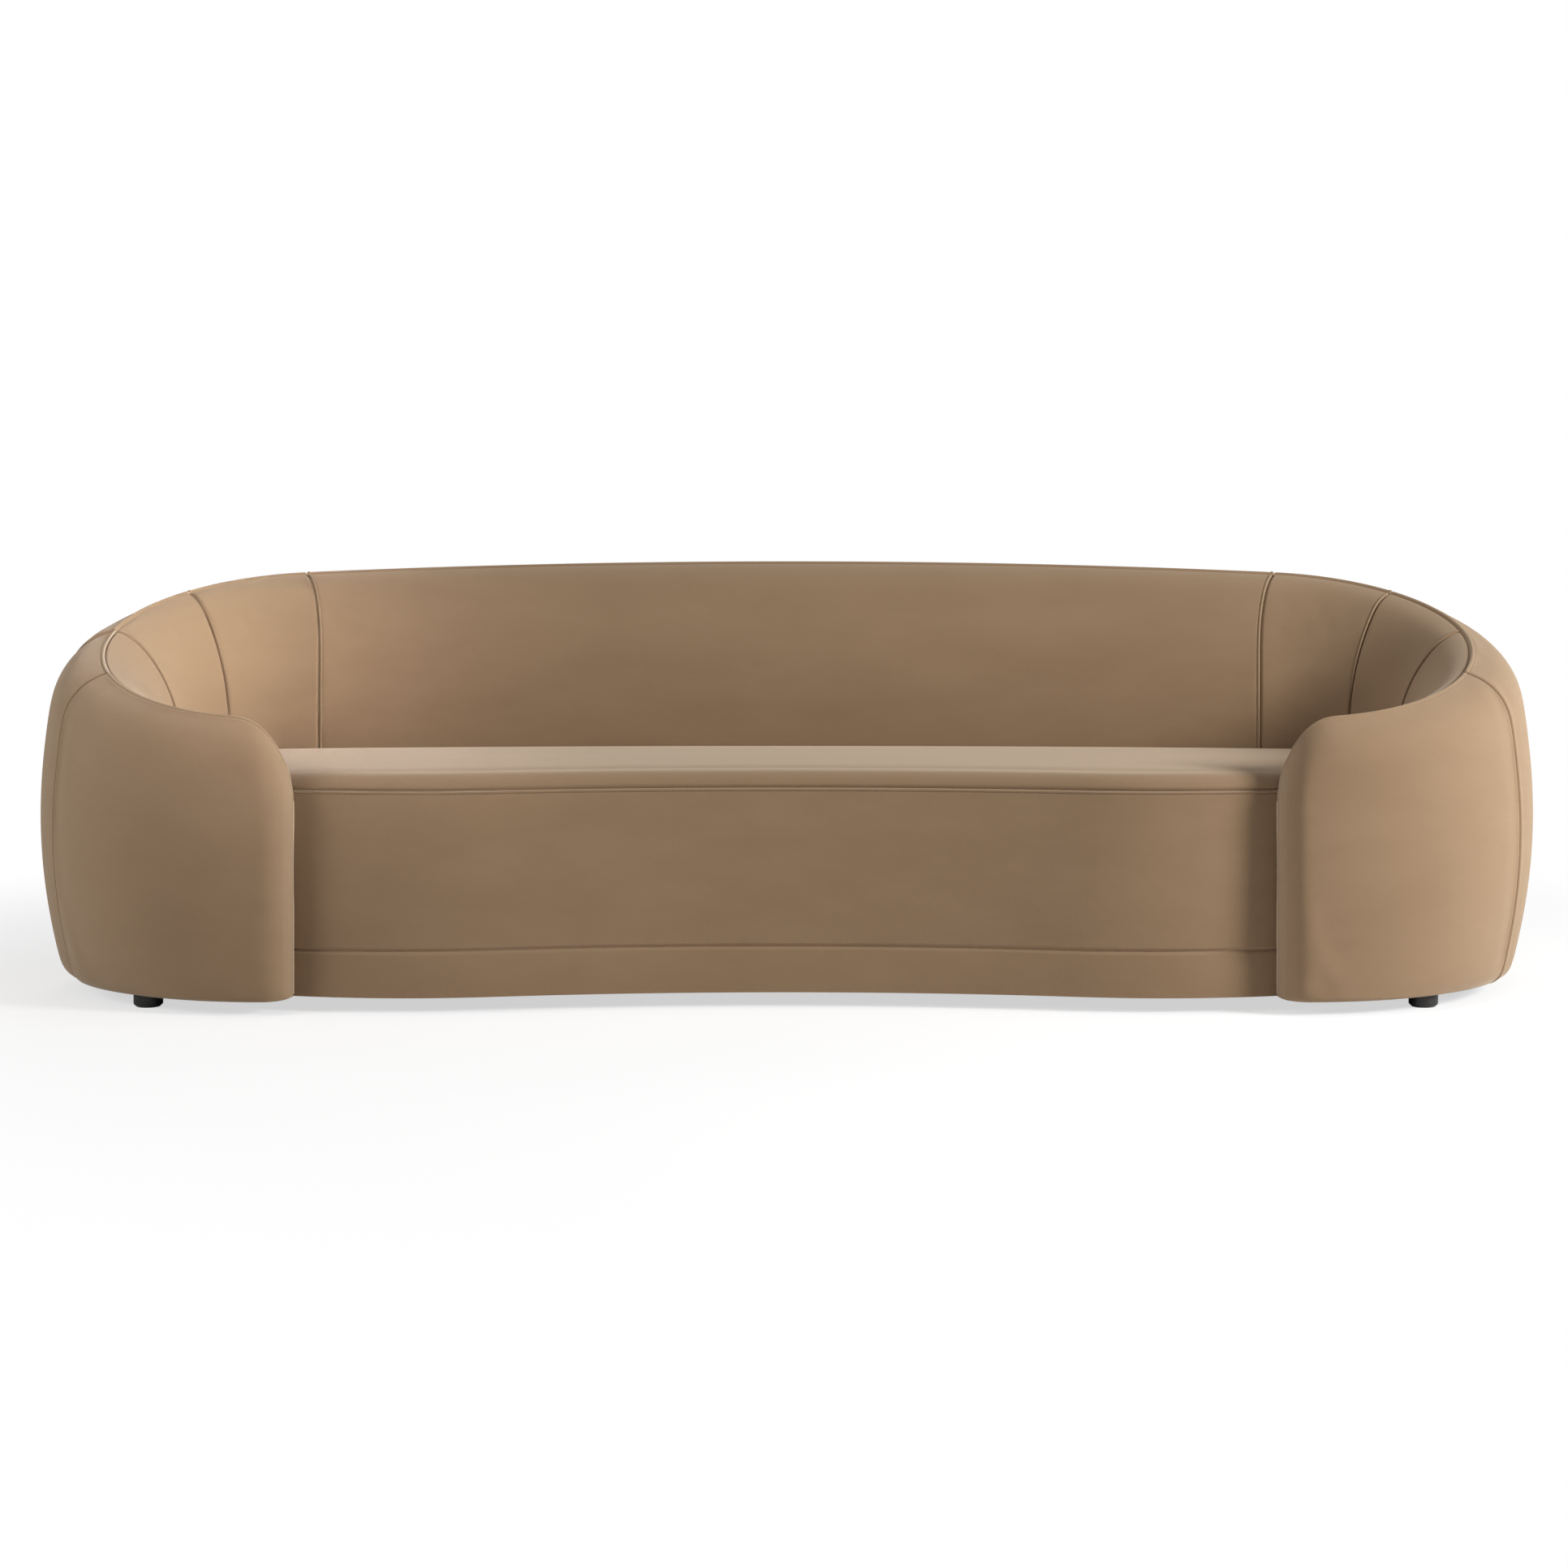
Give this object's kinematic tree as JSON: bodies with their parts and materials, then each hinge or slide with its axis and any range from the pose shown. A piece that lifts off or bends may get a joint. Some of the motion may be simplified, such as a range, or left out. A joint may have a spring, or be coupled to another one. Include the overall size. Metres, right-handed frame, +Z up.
{
  "type": "curved sofa",
  "caption": "Curved sofa with one padded velvet shell that forms the back and wraps round into broad arms, a tight bench seat and low round feet.",
  "frame": {"origin": "middle of the footprint, on the floor", "axes": "+X to the sofa's left-hand arm as one sits, the right of the picture; +Y to the back; +Z up"},
  "size_m": [2.8174, 0.9938, 0.786],
  "materials": {
    "tan_velvet": "tan velvet with a soft sheen",
    "foam": "cream upholstery foam",
    "frame_wood": "bare birch plywood and timber",
    "webbing": "elastic webbing",
    "black_lining": "thin black lining cloth",
    "dark_feet": "matte charcoal",
    "bolt_steel": "zinc-plated steel"
  },
  "bodies": {
    "root": {"arm_board_left": "frame_wood", "arm_board_right": "frame_wood", "arm_end_edge_left": "tan_velvet", "arm_end_edge_right": "tan_velvet", "arm_front_cover_left": "tan_velvet", "arm_front_cover_right": "tan_velvet", "arm_nose_pad_left": "foam", "arm_nose_pad_right": "foam", "arm_return_cover_left": "tan_velvet", "arm_return_cover_right": "tan_velvet", "back_base_rail": "frame_wood", "back_panel": "frame_wood", "back_top_rail": "frame_wood", "cross_rails": "frame_wood", "deck_rim": "frame_wood", "dust_cover": "black_lining", "foot_bolts": "bolt_steel", "foot_front_left": "dark_feet", "foot_front_right": "dark_feet", "foot_plates": "frame_wood", "foot_rear_left": "dark_feet", "foot_rear_right": "dark_feet", "frame_posts": "frame_wood", "front_rail": "frame_wood", "inside_arm_cover_left": "tan_velvet", "inside_arm_cover_right": "tan_velvet", "inside_arm_pad_left": "foam", "inside_arm_pad_right": "foam", "inside_back_cover": "tan_velvet", "inside_back_pad": "foam", "inside_corner_cover_left": "tan_velvet", "inside_corner_cover_right": "tan_velvet", "inside_corner_pad_left": "foam", "inside_corner_pad_right": "foam", "inside_quarter_cover_left": "tan_velvet", "inside_quarter_cover_right": "tan_velvet", "outside_arm_pad_left": "foam", "outside_arm_pad_right": "foam", "outside_back_cover": "tan_velvet", "outside_back_pad": "foam", "outside_corner_cover_left": "tan_velvet", "outside_corner_pad_left": "foam", "outside_corner_pad_right": "foam", "outside_quarter_cover_left": "tan_velvet", "outside_quarter_cover_right": "tan_velvet", "outside_side_cover_left": "tan_velvet", "outside_side_cover_right": "tan_velvet", "plinth_band": "tan_velvet", "seat_core": "foam", "seat_front_cover": "tan_velvet", "seat_front_pad": "foam", "seat_top_cover": "tan_velvet", "seat_webbing": "webbing", "side_base_rail_left": "frame_wood", "side_base_rail_right": "frame_wood", "side_panel_left": "frame_wood", "side_panel_right": "frame_wood", "side_top_rail_left": "frame_wood", "side_top_rail_right": "frame_wood"}
  },
  "joints": []
}
